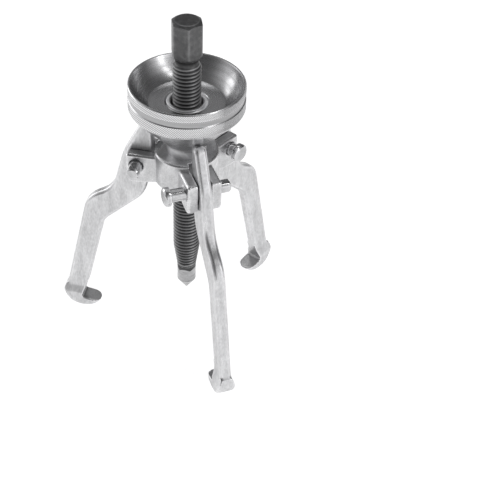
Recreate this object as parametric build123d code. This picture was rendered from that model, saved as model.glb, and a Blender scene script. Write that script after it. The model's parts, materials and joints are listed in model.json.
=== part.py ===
"""Three-jaw cone puller, standing on its hooks, in millimetres.

The forcing screw runs down +Z. The origin is on the screw's axis, level with the lowest point of
the hooks. A yoke carries a threaded barrel and three clevises. A jaw hangs on a headed pin in each
clevis. A knurled adjusting cone runs on the barrel, and its flank bears on the jaws' heads, so that
turning it down the barrel spreads the heads and closes the hooks. The forcing screw runs through
the yoke and ends in a separate hardened point.

Mating threads are plain cylinders with a running clearance.
"""
import math
import os

from build123d import *

# Running clearances, on the radius
FIT = 0.06
PIN_FIT = 0.05

# Forcing screw: 5/8 in thread with a hexagon of the same size
SCREW_R = 7.94
SCREW_HEX_AF = 15.9
SCREW_TOP_Z = 209.9
HEX_BOTTOM_Z = 188.1
HEX_TURN = 19.0
HEX_TOP_FLAT_R = 6.7
HEX_CHAMFER_RISE = 1.5
HEX_UNDER_FLAT_R = 7.4
HEX_UNDER_CHAMFER_RISE = 1.9
NECK_R = 6.4
NECK_OVERLAP = 0.5
NECK_BOTTOM_Z = 184.6
THREAD_TOP_Z = 182.3
TAPER_TOP_Z = 58.6
SCREW_END_R = 5.7
SCREW_END_Z = 43.0

# Hardened point, on a stem in the screw's end
POINT_R = 5.6
POINT_TIP_Z = 24.1
POINT_CONE_TOP_Z = 31.6
POINT_TIP_FLAT_R = 0.5
POINT_SHOULDER_Z = SCREW_END_Z - 0.05
STEM_R = 2.8
STEM_LENGTH = 8.0
STEM_END_GAP = 0.4

# Yoke: hub, barrel and three clevises
JAW_COUNT = 3
JAW_NAMES = ("front", "right", "left")
FIRST_JAW_ANGLE = -90.0
HUB_R = 18.5
HUB_TOP_Z = 127.8
HUB_BOTTOM_Z = 107.6
HUB_EDGE = 0.8
BARREL_R = 11.9
BARREL_RELIEF_R = 11.3
BARREL_RELIEF_TOP_Z = 133.5
BARREL_TOP_Z = 160.2
BARREL_BORE_R = 9.0
BARREL_BORE_MOUTH_R = 9.8
BARREL_BORE_FLOOR_Z = 140.0
YOKE_BORE_R = SCREW_R + FIT
PIN_AXIS_R = 27.4
PIN_AXIS_Z = 117.8
EAR_SPAN = 20.0
SLOT_WIDTH = 8.0
SLOT_ROOT_R = 14.6
EAR_END_R = 33.3
EAR_TOP = 7.4
EAR_BOTTOM = -11.8
EAR_BOTTOM_AT_HUB = -9.6
EAR_TAPER = 0.8
EAR_TAPER_TOP = -1.5
EAR_HEEL = 6.0
EAR_RADII = (1.6, 6.0, 2.6, 4.0)
EAR_ROOT_OVERLAP = 3.0
EAR_EDGE = 0.9
CUT_LENGTH = 60.0

# Adjusting cone: cup above, conical flank below
RIM_R = 32.6
RIM_TOP_Z = 171.4
RIM_BOTTOM_Z = 156.8
RIM_BEVEL = 0.5
RIM_LIP_R = 31.2
CUP_FLOOR_Z = 159.4
CUP_FLOOR_R = 21.5
CUP_WALL_RADIUS = 26.0
KNURL_GROOVE_R = 31.9
KNURL_GROOVE_TOP_Z = 166.4
KNURL_GROOVE_BOTTOM_Z = 163.0
CONE_END_R = 12.9
CONE_END_Z = 134.8
CONE_SHOULDER_R = 32.0
CONE_SHOULDER_Z = 156.0
CONE_BORE_R = BARREL_R + FIT
CONE_BORE_CHAMFER = 0.4

# Jaw, drawn in its own plane: x is the distance from the screw's axis
JAW_THICKNESS = 7.0
JAW_EDGE = 1.4
HEAD_CENTRE = (22.8, 139.6)
HEAD_TIP_R = 4.0
HEAD_FLAT_LEAN = 26.0
NECK_OUTER = (36.9, 121.4)
NECK_OUTER_RADIUS = 30.0
WAIST_OUTER = (43.6, 94.8)
WAIST_OUTER_RADIUS = 18.0
SHOULDER_OUTER = (60.2, 84.9)
SHOULDER_OUTER_RADIUS = 18.0
NECK_INNER = (18.6, 127.0)
NECK_INNER_RADIUS = 20.0
BEND_INNER = (23.8, 93.4)
BEND_INNER_RADIUS = 22.0
ELBOW_INNER = (49.9, 69.3)
ELBOW_INNER_RADIUS = 13.0
ARM_OUTER_END = (75.8, 13.8)
ARM_INNER_END = (61.7, 19.8)
ARM_ROOT = (65.5, 13.0)

# Hook at the jaw's foot
HOOK_WIDTH = 11.1
HOOK_CORNER = (66.4, 6.6)
HOOK_TIP = (54.6, 4.3)
HOOK_TIP_DEPTH = 1.2
HOOK_TIP_RAKE = 0.5
HOOK_ROOT_RADIUS = 1.5
HOOK_END_RADIUS = 5.0
HOOK_SOLE = (65.2, 0.0)
HOOK_HEEL = (73.6, 2.9)
HOOK_BACK = (77.1, 8.4)
HOOK_BACK_TOP = (76.3, 15.2)
HOOK_SOLE_DIRECTION = (1.0, -0.5)
HOOK_BACK_DIRECTION = (-0.45, 1.0)
CHEEK_TOP_Z = 15.0
CHEEK_FULL_Z = 9.5
SOLE_EDGE_RADIUS = 1.6

# Headed pins, each pushed to a different place along its own axis
PIN_R = 3.75
PIN_HEAD_R = 5.5
PIN_HEAD_LENGTH = 3.7
PIN_LENGTH = 38.8
PIN_HEAD_EDGE = 0.9
PIN_TAIL_CHAMFER = 0.8
PIN_HEAD_OUTER = {"front": -22.5, "right": -17.8, "left": -20.3}
HOLE_MOUTH_R = 4.7


def jaw_angle(index: int) -> float:
    """Direction of a jaw from the screw's axis, in degrees from +X."""
    return FIRST_JAW_ANGLE + index * 360.0 / JAW_COUNT


def at_jaw(shape, index: int):
    """Turn a shape drawn with the jaw's plane on XZ into its place round the axis."""
    return Rot(0, 0, jaw_angle(index)) * shape


def turned(points) -> Part:
    """Solid of revolution about Z from (radius, height) points."""
    return revolve(make_face(Plane.XZ * Polyline(*points, close=True)), Axis.Z)


def slab(face, thickness: float):
    """Plate of an outline on XZ, half its thickness to each side."""
    return extrude(face, amount=thickness / 2, both=True)


def cross_cylinder(radius: float, start: float, end: float, x: float, z: float):
    """Cylinder along Y between two places, about a line at x and z."""
    solid = Cylinder(radius, end - start)
    return Pos(x, (start + end) / 2, z) * Rot(90, 0, 0) * solid


def barrel_and_hub() -> Part:
    """Hub with the threaded barrel that stands on it, and its stepped bore."""
    mouth = BARREL_BORE_MOUTH_R - BARREL_BORE_R
    return turned([
        (YOKE_BORE_R, HUB_BOTTOM_Z),
        (HUB_R - HUB_EDGE, HUB_BOTTOM_Z),
        (HUB_R, HUB_BOTTOM_Z + HUB_EDGE),
        (HUB_R, HUB_TOP_Z - HUB_EDGE),
        (HUB_R - HUB_EDGE, HUB_TOP_Z),
        (BARREL_RELIEF_R, HUB_TOP_Z),
        (BARREL_RELIEF_R, BARREL_RELIEF_TOP_Z),
        (BARREL_R, BARREL_RELIEF_TOP_Z + BARREL_R - BARREL_RELIEF_R),
        (BARREL_R, BARREL_TOP_Z - mouth),
        (BARREL_R - mouth, BARREL_TOP_Z),
        (BARREL_BORE_MOUTH_R, BARREL_TOP_Z),
        (BARREL_BORE_R, BARREL_TOP_Z - mouth),
        (BARREL_BORE_R, BARREL_BORE_FLOOR_Z),
        (YOKE_BORE_R, BARREL_BORE_FLOOR_Z - (BARREL_BORE_R - YOKE_BORE_R)),
    ])


def clevis_block() -> Part:
    """One clevis before its slot and pin hole are cut, drawn in the first jaw's plane on XZ."""
    root = SLOT_ROOT_R - EAR_ROOT_OVERLAP
    outline = FilletPolyline(
        (root, PIN_AXIS_Z + EAR_TOP),
        (EAR_END_R, PIN_AXIS_Z + EAR_TOP),
        (EAR_END_R, PIN_AXIS_Z + EAR_TAPER_TOP),
        (EAR_END_R - EAR_TAPER, PIN_AXIS_Z + EAR_BOTTOM),
        (EAR_END_R - EAR_HEEL, PIN_AXIS_Z + EAR_BOTTOM),
        (root, PIN_AXIS_Z + EAR_BOTTOM_AT_HUB),
        radius=EAR_RADII,
    )
    face = make_face(Plane.XZ * Wire([*outline.edges(), Line(outline @ 1, outline @ 0)]))
    block = slab(face, EAR_SPAN)
    sides = block.faces().filter_by(Axis.Y).edges()
    return chamfer([edge for edge in sides if edge.center().X > HUB_R], EAR_EDGE)


def clevis_cuts():
    """Slot for the jaw, and the pin's hole with its countersunk mouths."""
    middle = SLOT_ROOT_R + CUT_LENGTH / 2
    slot = Pos(middle, 0, PIN_AXIS_Z) * Box(CUT_LENGTH, SLOT_WIDTH, CUT_LENGTH)
    half = EAR_SPAN / 2
    hole = cross_cylinder(PIN_R + PIN_FIT, -half - 1, half + 1, PIN_AXIS_R, PIN_AXIS_Z)
    depth = HOLE_MOUTH_R - PIN_R
    mouths = [
        Pos(PIN_AXIS_R, side * (half - depth / 2), PIN_AXIS_Z) * Rot(-90 * side, 0, 0)
        * Cone(PIN_R, HOLE_MOUTH_R, depth)
        for side in (-1, 1)
    ]
    return [slot, hole, *mouths]


def yoke() -> Part:
    """Hub, barrel and three clevises in one casting."""
    body = barrel_and_hub()
    for index in range(JAW_COUNT):
        body += at_jaw(clevis_block(), index)
    bore = Pos(0, 0, (HUB_BOTTOM_Z + HUB_TOP_Z) / 2) * Cylinder(YOKE_BORE_R, CUT_LENGTH)
    body -= bore
    for index in range(JAW_COUNT):
        body -= [at_jaw(cut, index) for cut in clevis_cuts()]
    return body


def adjusting_cone() -> Part:
    """Cup with a grooved rim for the knurl, over the conical flank that drives the jaws."""
    bevel = RIM_BEVEL
    step = RIM_R - KNURL_GROOVE_R
    outside = Polyline(
        (CONE_BORE_R + CONE_BORE_CHAMFER, CONE_END_Z),
        (CONE_END_R, CONE_END_Z),
        (CONE_SHOULDER_R, CONE_SHOULDER_Z),
        (RIM_R, RIM_BOTTOM_Z),
        (RIM_R, KNURL_GROOVE_BOTTOM_Z),
        (KNURL_GROOVE_R, KNURL_GROOVE_BOTTOM_Z + step / 2),
        (KNURL_GROOVE_R, KNURL_GROOVE_TOP_Z - step / 2),
        (RIM_R, KNURL_GROOVE_TOP_Z),
        (RIM_R, RIM_TOP_Z - bevel),
        (RIM_R - bevel, RIM_TOP_Z),
        (RIM_LIP_R, RIM_TOP_Z),
    )
    wall = RadiusArc((RIM_LIP_R, RIM_TOP_Z), (CUP_FLOOR_R, CUP_FLOOR_Z), CUP_WALL_RADIUS)
    inside = Polyline(
        (CUP_FLOOR_R, CUP_FLOOR_Z),
        (CONE_BORE_R, CUP_FLOOR_Z),
        (CONE_BORE_R, CONE_END_Z + CONE_BORE_CHAMFER),
        (CONE_BORE_R + CONE_BORE_CHAMFER, CONE_END_Z),
    )
    profile = make_face(Plane.XZ * Wire([*outside.edges(), wall.edge(), *inside.edges()]))
    return revolve(profile, Axis.Z)


def hexagon_head():
    """Driving hexagon, chamfered at both ends."""
    corner = SCREW_HEX_AF / math.sqrt(3)
    height = SCREW_TOP_Z - HEX_BOTTOM_Z
    outline = Pos(0, 0, HEX_BOTTOM_Z) * Rot(0, 0, HEX_TURN) * RegularPolygon(corner, 6)
    chamfers = turned([
        (0, HEX_BOTTOM_Z),
        (HEX_UNDER_FLAT_R, HEX_BOTTOM_Z),
        (corner, HEX_BOTTOM_Z + HEX_UNDER_CHAMFER_RISE),
        (corner, SCREW_TOP_Z - HEX_CHAMFER_RISE),
        (HEX_TOP_FLAT_R, SCREW_TOP_Z),
        (0, SCREW_TOP_Z),
    ])
    return extrude(outline, height) & chamfers


def forcing_screw() -> Part:
    """Threaded rod with its neck, hexagon and tapered lower end, bored for the point's stem."""
    stem_hole_top = POINT_SHOULDER_Z + STEM_LENGTH + STEM_END_GAP
    rod = turned([
        (STEM_R + PIN_FIT, SCREW_END_Z),
        (SCREW_END_R, SCREW_END_Z),
        (SCREW_R, TAPER_TOP_Z),
        (SCREW_R, THREAD_TOP_Z),
        (NECK_R, NECK_BOTTOM_Z),
        (NECK_R, HEX_BOTTOM_Z + NECK_OVERLAP),
        (0, HEX_BOTTOM_Z + NECK_OVERLAP),
        (0, stem_hole_top),
        (STEM_R + PIN_FIT, stem_hole_top),
    ])
    return rod + hexagon_head()


def screw_point() -> Part:
    """Hardened conical point with the stem on which the forcing screw turns."""
    return turned([
        (0, POINT_TIP_Z),
        (POINT_TIP_FLAT_R, POINT_TIP_Z),
        (POINT_R, POINT_CONE_TOP_Z),
        (POINT_R, POINT_SHOULDER_Z),
        (STEM_R, POINT_SHOULDER_Z),
        (STEM_R, POINT_SHOULDER_Z + STEM_LENGTH),
        (0, POINT_SHOULDER_Z + STEM_LENGTH),
    ])


def head_point(angle: float):
    """Point on the head's rounded tip, at an angle from the jaw plane's +X."""
    turn = math.radians(angle)
    return (HEAD_CENTRE[0] + HEAD_TIP_R * math.cos(turn),
            HEAD_CENTRE[1] + HEAD_TIP_R * math.sin(turn))


def jaw_arm():
    """Head, neck, elbow and arm of a jaw, as one plate with bevelled edges."""
    outer = FilletPolyline(
        head_point(HEAD_FLAT_LEAN),
        NECK_OUTER,
        WAIST_OUTER,
        SHOULDER_OUTER,
        ARM_OUTER_END,
        radius=(NECK_OUTER_RADIUS, WAIST_OUTER_RADIUS, SHOULDER_OUTER_RADIUS),
    )
    inner = FilletPolyline(
        ARM_INNER_END,
        ELBOW_INNER,
        BEND_INNER,
        NECK_INNER,
        head_point(180.0),
        radius=(ELBOW_INNER_RADIUS, BEND_INNER_RADIUS, NECK_INNER_RADIUS),
    )
    tip = ThreePointArc(head_point(180.0), head_point(100.0), head_point(HEAD_FLAT_LEAN))
    foot = Polyline(ARM_OUTER_END, ARM_ROOT, ARM_INNER_END)
    outline = Wire([*outer.edges(), *foot.edges(), *inner.edges(), tip.edge()])
    plate = slab(make_face(Plane.XZ * outline), JAW_THICKNESS)
    sides = plate.faces().filter_by(Axis.Y).edges()
    return chamfer([edge for edge in sides if edge.center().Z > ARM_INNER_END[1]], JAW_EDGE)


def cheeks():
    """Room across the foot: as wide as the arm at its top, then flaring to the hook's full width."""
    narrow = JAW_THICKNESS / 2
    wide = HOOK_WIDTH / 2
    right = [(wide, HOOK_SOLE[1]), (wide, CHEEK_FULL_Z), (narrow, CHEEK_TOP_Z), (narrow, CUT_LENGTH)]
    left = [(-across, height) for across, height in reversed(right)]
    outline = Plane.YZ * Polyline(*right, *left, close=True)
    return extrude(make_face(outline), CUT_LENGTH * 2)


def hook():
    """Wide foot of a jaw: a rounded back, a flat lip pointing inwards, and flared cheeks."""
    lip_under = (HOOK_TIP[0] + HOOK_TIP_RAKE, HOOK_TIP[1] - HOOK_TIP_DEPTH)
    inside = FilletPolyline(ARM_INNER_END, HOOK_CORNER, HOOK_TIP, radius=HOOK_ROOT_RADIUS)
    back = Spline(lip_under, HOOK_SOLE, HOOK_HEEL, HOOK_BACK, HOOK_BACK_TOP,
                  tangents=[HOOK_SOLE_DIRECTION, HOOK_BACK_DIRECTION])
    ends = [Line(HOOK_TIP, lip_under), Line(HOOK_BACK_TOP, ARM_INNER_END)]
    outline = Wire([*inside.edges(), back.edge(), *[line.edge() for line in ends]])
    block = slab(make_face(Plane.XZ * outline), HOOK_WIDTH)
    tip_line = HOOK_TIP[0] + HOOK_TIP_RAKE
    corners = [edge for edge in block.edges()
               if edge.center().X < tip_line and abs(edge.center().Y) > HOOK_WIDTH / 2 - 0.01]
    block = fillet(corners, HOOK_END_RADIUS)
    sole_edges = [edge for edge in block.faces().filter_by(Axis.Y).edges()
                  if edge.center().Z < CHEEK_FULL_Z and edge.center().X > HOOK_CORNER[0]]
    return fillet(sole_edges, SOLE_EDGE_RADIUS) & cheeks()


def jaw() -> Part:
    """Jaw with its pin hole, drawn in the first jaw's plane on XZ."""
    body = jaw_arm() + hook()
    half = JAW_THICKNESS / 2 + 1
    return body - cross_cylinder(PIN_R + PIN_FIT, -half, half, PIN_AXIS_R, PIN_AXIS_Z)


def pin(head_outer: float) -> Part:
    """Headed pin along Y, with its head's outer face at the given place."""
    edge = PIN_HEAD_EDGE
    chamfered = PIN_TAIL_CHAMFER
    solid = turned([
        (0, 0),
        (PIN_HEAD_R - edge, 0),
        (PIN_HEAD_R, edge),
        (PIN_HEAD_R, PIN_HEAD_LENGTH),
        (PIN_R, PIN_HEAD_LENGTH),
        (PIN_R, PIN_LENGTH - chamfered),
        (PIN_R - chamfered, PIN_LENGTH),
        (0, PIN_LENGTH),
    ])
    return Pos(PIN_AXIS_R, head_outer, PIN_AXIS_Z) * Rot(-90, 0, 0) * solid


def parts() -> dict:
    """Every node's name and solid."""
    nodes = {
        "yoke": yoke(),
        "adjusting_cone": adjusting_cone(),
        "forcing_screw": forcing_screw(),
        "screw_point": screw_point(),
    }
    for index, name in enumerate(JAW_NAMES):
        nodes[f"jaw_{name}"] = at_jaw(jaw(), index)
        nodes[f"pin_{name}"] = at_jaw(pin(PIN_HEAD_OUTER[name]), index)
    return nodes


os.makedirs("parts", exist_ok=True)
for node, solid in parts().items():
    export_step(solid, f"parts/{node}.step")
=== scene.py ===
"""Looks of a three-jaw cone puller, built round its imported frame. Lengths are in metres."""
import json
import logging
import math
from dataclasses import dataclass
from enum import Enum
from typing import Callable, Iterable, Optional, Sequence, Union

import bmesh
import bpy
import numpy as np
from mathutils import Matrix, Vector


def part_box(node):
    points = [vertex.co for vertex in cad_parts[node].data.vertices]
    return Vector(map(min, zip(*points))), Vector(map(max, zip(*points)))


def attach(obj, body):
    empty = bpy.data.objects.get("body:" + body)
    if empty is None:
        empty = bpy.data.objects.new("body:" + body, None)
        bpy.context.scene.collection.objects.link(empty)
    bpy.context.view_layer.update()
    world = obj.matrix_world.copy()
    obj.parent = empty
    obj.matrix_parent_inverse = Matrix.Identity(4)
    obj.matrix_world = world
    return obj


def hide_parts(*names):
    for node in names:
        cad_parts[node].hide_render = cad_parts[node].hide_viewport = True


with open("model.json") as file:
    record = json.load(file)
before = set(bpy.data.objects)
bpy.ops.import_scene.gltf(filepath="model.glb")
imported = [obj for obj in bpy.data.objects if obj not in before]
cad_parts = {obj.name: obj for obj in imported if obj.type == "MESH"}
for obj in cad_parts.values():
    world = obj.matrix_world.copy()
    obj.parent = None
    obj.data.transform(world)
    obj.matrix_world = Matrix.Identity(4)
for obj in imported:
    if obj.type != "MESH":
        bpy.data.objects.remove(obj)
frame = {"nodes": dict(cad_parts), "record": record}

MM = 0.001
CONVEXITY = "convexity"
COOLNESS = 1.012
STRAIGHT = math.radians(178)
MOST_OF_RUN = 0.49
SHARE_TO_NEIGHBOURS = 0.5
Socket = bpy.types.NodeSocket
Value = Union[float, Socket]
Outputs = bpy.types.NodeOutputs
Profile = list[tuple[float, float]]
Row = Callable[[np.ndarray], np.ndarray]

logging.basicConfig(level=logging.INFO, format="%(message)s")
log = logging.getLogger("puller")


class Slot(Enum):
    """Material slots of the record."""

    CASTING = "plated_casting"
    FORGING = "plated_forging"
    TURNED = "turned_steel"
    BLACK = "black_oxide_steel"
    GROUND = "ground_steel"
    PIN = "polished_pin"


class Side(Enum):
    """The jaws, by name, with each one's direction from the screw's axis in degrees."""

    FRONT = -90.0
    RIGHT = 30.0
    LEFT = 150.0

    @property
    def word(self) -> str:
        """The jaw's name as the frame's nodes spell it."""
        return self.name.lower()


# ---------------------------------------------------------------------------------------------
# Node trees
# ---------------------------------------------------------------------------------------------


class Graph:
    """Short way to add and join nodes in one tree."""

    def __init__(self, tree: bpy.types.NodeTree) -> None:
        """Take the tree to work on.

        Args:
            tree: A shader or geometry node tree.
        """
        self.tree = tree

    def add(self, kind: str, inputs: Optional[dict] = None, **settings) -> bpy.types.Node:
        """Add a node.

        Args:
            kind: The node's type name.
            inputs: Values or sockets for its inputs, by name or place.
            settings: Properties of the node.

        Returns:
            The new node.
        """
        node = self.tree.nodes.new(kind)
        for key, value in settings.items():
            setattr(node, key, value)
        for key, value in (inputs or {}).items():
            self.set(node.inputs[key], value)
        return node

    def set(self, socket: Socket, value) -> None:
        """Give a socket a value, or join another socket to it.

        Args:
            socket: The input.
            value: A plain value or an output socket.
        """
        if isinstance(value, bpy.types.NodeSocket):
            self.tree.links.new(value, socket)
        else:
            socket.default_value = value

    def math(self, operation: str, first: Value, second: Value = 0.0, third: Value = 0.0,
             clamp: bool = False) -> Socket:
        """Add a Math node.

        Args:
            operation: The node's operation.
            first: First value.
            second: Second value.
            third: Third value, where the operation takes one.
            clamp: Whether the result is held between 0 and 1.

        Returns:
            Its output.
        """
        node = self.add("ShaderNodeMath", {0: first, 1: second}, operation=operation,
                        use_clamp=clamp)
        if operation in ("MULTIPLY_ADD", "COMPARE", "WRAP"):
            self.set(node.inputs[2], third)
        return node.outputs[0]

    def total(self, *values: Value) -> Socket:
        """Sum of several values.

        Args:
            values: What to add.

        Returns:
            The sum.
        """
        result = values[0]
        for value in values[1:]:
            result = self.math("ADD", result, value)
        return result

    def blend(self, amount: Value, first, second) -> Socket:
        """Mix two colours.

        Args:
            amount: Share of the second.
            first: First colour.
            second: Second colour.

        Returns:
            The mixed colour.
        """
        node = self.add("ShaderNodeMix", data_type="RGBA")
        self.set(node.inputs[0], amount)
        self.set(node.inputs[6], first)
        self.set(node.inputs[7], second)
        return node.outputs[2]

    def noise(self, vector: Socket, scale: Value, detail: float, roughness: float = 0.5) -> Socket:
        """Add a Noise Texture.

        Args:
            vector: Where it is read.
            scale: Its scale.
            detail: How many finer layers it has.
            roughness: How strong they are.

        Returns:
            Its strength.
        """
        node = self.add("ShaderNodeTexNoise", {"Vector": vector, "Scale": scale, "Detail": detail,
                                               "Roughness": roughness})
        return node.outputs["Fac"]

    def remap(self, value: Socket, low: float, high: float, to_low: float,
              to_high: float) -> Socket:
        """Map one range on another, held at its ends.

        Args:
            value: What to map.
            low: Start of the range it comes from.
            high: End of the range it comes from.
            to_low: Start of the new range.
            to_high: End of the new range.

        Returns:
            The mapped value.
        """
        node = self.add("ShaderNodeMapRange", {"Value": value, "From Min": low, "From Max": high,
                                               "To Min": to_low, "To Max": to_high})
        return node.outputs["Result"]


def group_tree(name: str, inputs: dict[str, float],
               outputs: Sequence[str]) -> tuple[Graph, dict, bpy.types.Node]:
    """Start a shader group with float inputs and float outputs.

    Args:
        name: The group's name.
        inputs: Each input's name and usual value. A name that starts with "Coord" is a vector.
        outputs: The outputs' names.

    Returns:
        The graph, its input sockets by name, and the output node.
    """
    tree = bpy.data.node_groups.new(name, "ShaderNodeTree")
    for key, value in inputs.items():
        kind = "NodeSocketVector" if key.startswith("Coord") else "NodeSocketFloat"
        socket = tree.interface.new_socket(key, in_out="INPUT", socket_type=kind)
        if kind == "NodeSocketFloat":
            socket.default_value = value
    for key in outputs:
        tree.interface.new_socket(key, in_out="OUTPUT", socket_type="NodeSocketFloat")
    graph = Graph(tree)
    source = graph.add("NodeGroupInput")
    sink = graph.add("NodeGroupOutput")
    return graph, {key: source.outputs[key] for key in inputs}, sink


def mottle_group() -> bpy.types.NodeTree:
    """Cloudy change of tone over a plated surface: broad clouds with fine specks in them.

    Returns:
        The group.
    """
    graph, given, sink = group_tree("mottle", {
        "Coord": 0.0, "Cloud Scale": 90.0, "Speck Scale": 1400.0, "Speck Share": 0.35}, ["Tone"])
    cloud = graph.noise(given["Coord"], given["Cloud Scale"], 4.0, 0.6)
    speck = graph.noise(given["Coord"], given["Speck Scale"], 2.0)
    broad = graph.remap(cloud, 0.34, 0.68, 0.0, 1.0)
    fine = graph.remap(speck, 0.3, 0.7, 0.0, 1.0)
    spare = graph.math("SUBTRACT", 1.0, given["Speck Share"])
    tone = graph.math("ADD", graph.math("MULTIPLY", broad, spare),
                      graph.math("MULTIPLY", fine, given["Speck Share"]))
    graph.set(sink.inputs["Tone"], tone)
    return graph.tree


def cast_skin_group() -> bpy.types.NodeTree:
    """Height of a tumbled casting's skin: shallow waves under a fine sandy grain.

    Returns:
        The group.
    """
    graph, given, sink = group_tree("cast_skin", {
        "Coord": 0.0, "Grain Scale": 2600.0, "Wave Scale": 260.0, "Wave Share": 0.6}, ["Height"])
    grain = graph.noise(given["Coord"], given["Grain Scale"], 3.0, 0.55)
    wave = graph.noise(given["Coord"], given["Wave Scale"], 2.0)
    height = graph.math("MULTIPLY_ADD", wave, given["Wave Share"], grain)
    graph.set(sink.inputs["Height"], height)
    return graph.tree


def edge_group() -> bpy.types.NodeTree:
    """Share of a point that lies on a rubbed outer edge, which takes worn bright metal and a
    painted highlight, and of one in an inner corner, which takes painted shade.

    Returns:
        The group.
    """
    graph, given, sink = group_tree("edge_rub", {
        "Convexity": 0.0, "Coord": 0.0, "Reach": 0.5, "Breakup": 0.35, "Breakup Scale": 420.0},
        ["Edge", "Corner"])
    noise = graph.noise(given["Coord"], given["Breakup Scale"], 3.0)
    drift = graph.math("MULTIPLY", graph.math("SUBTRACT", noise, 0.5), given["Breakup"])
    shifted = graph.math("ADD", given["Convexity"], drift)
    # The edge share marks rubbed metal with a painted highlight; the corner share marks painted
    # shade.
    edge = graph.math("DIVIDE", shifted, given["Reach"], clamp=True)
    corner = graph.math("DIVIDE", graph.math("MULTIPLY", shifted, -1.0), given["Reach"], clamp=True)
    graph.set(sink.inputs["Edge"], edge)
    graph.set(sink.inputs["Corner"], corner)
    return graph.tree


def turning_group() -> bpy.types.NodeTree:
    """Fine rings left by a lathe tool, about the screw's axis or along it.

    Returns:
        The group.
    """
    graph, given, sink = group_tree("turning_marks", {
        "Coord": 0.0, "Ring Scale": 2200.0, "Ring Drift": 0.35, "Band Scale": 300.0,
        "Band Drift": 0.5, "Slope": 1.0}, ["Height", "Tone"])
    split = graph.add("ShaderNodeSeparateXYZ", {0: given["Coord"]})
    x, y, z = split.outputs
    radius = graph.math("SQRT", graph.math("ADD", graph.math("MULTIPLY", x, x),
                                           graph.math("MULTIPLY", y, y)))
    reach = graph.math("MULTIPLY_ADD", radius, given["Slope"], z)
    angle = graph.math("ARCTAN2", y, x)
    fields = []
    for kind, detail, roughness in (("Ring", 4.0, 0.7), ("Band", 2.0, 0.5)):
        track = graph.add("ShaderNodeCombineXYZ", {
            0: graph.math("MULTIPLY", reach, given[kind + " Scale"]),
            1: graph.math("MULTIPLY", angle, given[kind + " Drift"])})
        fields.append(graph.noise(track.outputs[0], 1.0, detail, roughness))
    rings, bands = fields
    graph.set(sink.inputs["Height"], rings)
    graph.set(sink.inputs["Tone"], graph.math("MULTIPLY_ADD", bands, 0.5,
                                              graph.math("MULTIPLY", rings, 0.5)))
    return graph.tree


class Effects:
    """The shader groups, each built once."""

    def __init__(self) -> None:
        """Build every group."""
        self.mottle = mottle_group()
        self.cast_skin = cast_skin_group()
        self.edge = edge_group()
        self.turning = turning_group()


# ---------------------------------------------------------------------------------------------
# Finishes
# ---------------------------------------------------------------------------------------------


def grey(level: float) -> tuple[float, float, float, float]:
    """Neutral colour of a linear level, a trace cool as plated steel is."""
    return (level, level, level * COOLNESS, 1.0)


@dataclass(frozen=True)
class Finish:
    """A metal finish. Its subclass says how its tone and its height vary.

    Args:
        slot: The record's slot that it belongs to.
        dark: Its darkest tone.
        light: Its brightest tone.
        rub: Tone of its rubbed edges, partly worn metal and partly a painted highlight.
        rub_share: Most of the rubbed tone, painted highlight included, on an edge.
        dull: Tone of the painted shade in its corners, over the darkest tone.
        dull_share: Most of the painted shade in a corner.
        smooth: Roughness where it is brightest.
        rough: Roughness where it is dullest.
        metallic: Share of bare metal.
        relief: How strongly its height shows.
        depth: What a height of 1 stands for.
    """

    slot: Slot
    dark: float = 0.45
    light: float = 0.68
    rub: float = 0.9
    rub_share: float = 0.7
    dull: float = 0.5
    dull_share: float = 0.45
    smooth: float = 0.24
    rough: float = 0.42
    metallic: float = 1.0
    relief: float = 0.5
    depth: float = 0.00012

    def start(self, effects: Effects) -> tuple[bpy.types.Material, Graph, Socket, Outputs]:
        """Start the material with its coordinates and its masks for rubbed edges with a painted
        highlight and for painted corner shade.

        Args:
            effects: The shared groups.

        Returns:
            The material, its graph, the object coordinates, and the masks "Edge", for rubbed edges
            with a painted highlight, and "Corner", for painted corner shade.
        """
        material = bpy.data.materials.new(self.slot.value)
        material.use_nodes = True
        graph = Graph(material.node_tree)
        coord = graph.add("ShaderNodeTexCoord").outputs["Object"]
        convexity = graph.add("ShaderNodeAttribute", attribute_name=CONVEXITY).outputs["Fac"]
        # Masks of rubbed edges, which get a painted highlight, and of inner corners, which get
        # painted shade.
        wear_and_painted_light = graph.add("ShaderNodeGroup", {"Convexity": convexity, "Coord": coord},
                         node_tree=effects.edge)
        return material, graph, coord, wear_and_painted_light.outputs

    def colour(self, graph: Graph, wear_and_painted_light: Outputs, tone: Socket) -> Socket:
        """Colour of the metal, rubbed bright with a painted highlight on its edges and darkened by
        painted shade in its corners.

        Args:
            graph: The material's graph.
            wear_and_painted_light: The masks of rubbed edges with a painted highlight and of
                painted corner shade.
            tone: 0 where it is darkest, 1 where it is brightest.

        Returns:
            The colour.
        """
        result = graph.blend(tone, grey(self.dark), grey(self.light))
        # Outer edges take the rubbed tone, partly worn metal and partly a painted highlight; inner
        # corners take painted shade.
        for mask, share, level in (("Edge", self.rub_share, self.rub),
                                   ("Corner", self.dull_share, self.dark * self.dull)):
            result = graph.blend(graph.math("MULTIPLY", wear_and_painted_light[mask], share), result, grey(level))
        return result

    def dress(self, graph: Graph, colour: Socket, roughness: Socket, height: Socket) -> None:
        """Join what varies to the metal's shader.

        Args:
            graph: The material's graph.
            colour: The colour.
            roughness: The roughness.
            height: The height.
        """
        shader = graph.tree.nodes["Principled BSDF"]
        graph.set(shader.inputs["Base Color"], colour)
        shader.inputs["Metallic"].default_value = self.metallic
        graph.set(shader.inputs["Roughness"], roughness)
        bump = graph.add("ShaderNodeBump", {"Strength": self.relief, "Distance": self.depth,
                                            "Height": height})
        graph.set(shader.inputs["Normal"], bump.outputs["Normal"])


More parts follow.
